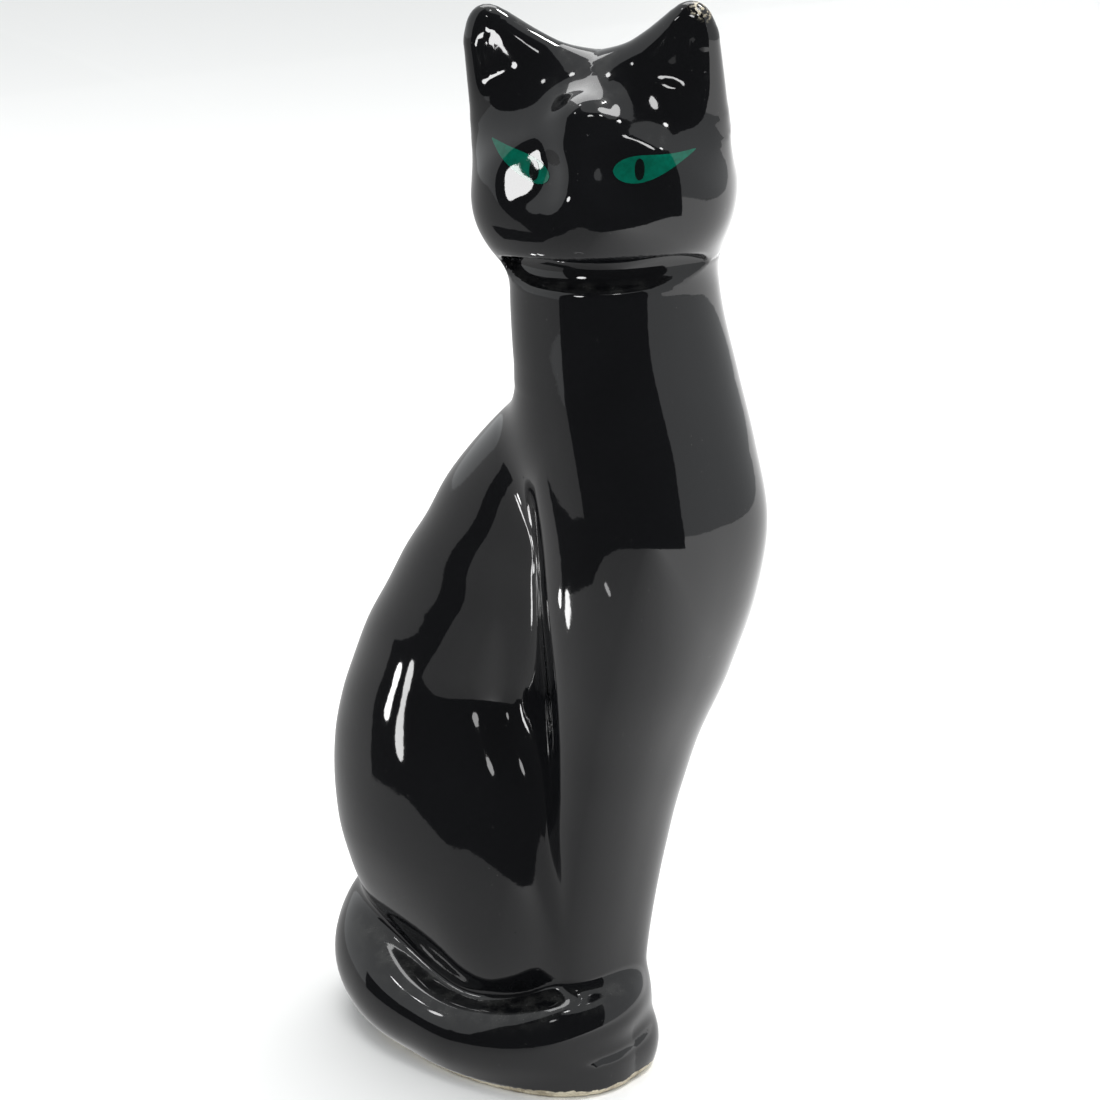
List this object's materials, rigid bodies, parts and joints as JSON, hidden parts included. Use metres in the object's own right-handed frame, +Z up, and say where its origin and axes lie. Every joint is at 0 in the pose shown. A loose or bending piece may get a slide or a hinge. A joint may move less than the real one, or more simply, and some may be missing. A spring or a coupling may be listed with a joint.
{
  "type": "cat figurine",
  "caption": "Tall slender seated cat figurine in gloss black glazed ceramic, head turned to one side, tail wrapped round the feet, green almond eyes.",
  "frame": {"origin": "middle of the figurine's bounding box, at the height of the resting foot rim", "axes": "+Z up, the cat's chest faces -Y, the cat's right side is -X and its head is turned towards -X"},
  "size_m": [0.0812, 0.1521, 0.305],
  "materials": {
    "clay": "unglazed biscuit, matt",
    "slip": "unglazed slip, matt",
    "black_glaze": "high gloss",
    "green_enamel": "gloss",
    "black_enamel": "gloss"
  },
  "bodies": {
    "root": {"body_casting": "clay", "head_casting": "clay", "tail_casting": "clay", "neck_slip_joint": "slip", "base_disc": "clay", "body_glaze": "black_glaze", "head_glaze": "black_glaze", "right_iris": "green_enamel", "left_iris": "green_enamel", "right_pupil": "black_enamel", "left_pupil": "black_enamel"}
  },
  "joints": []
}
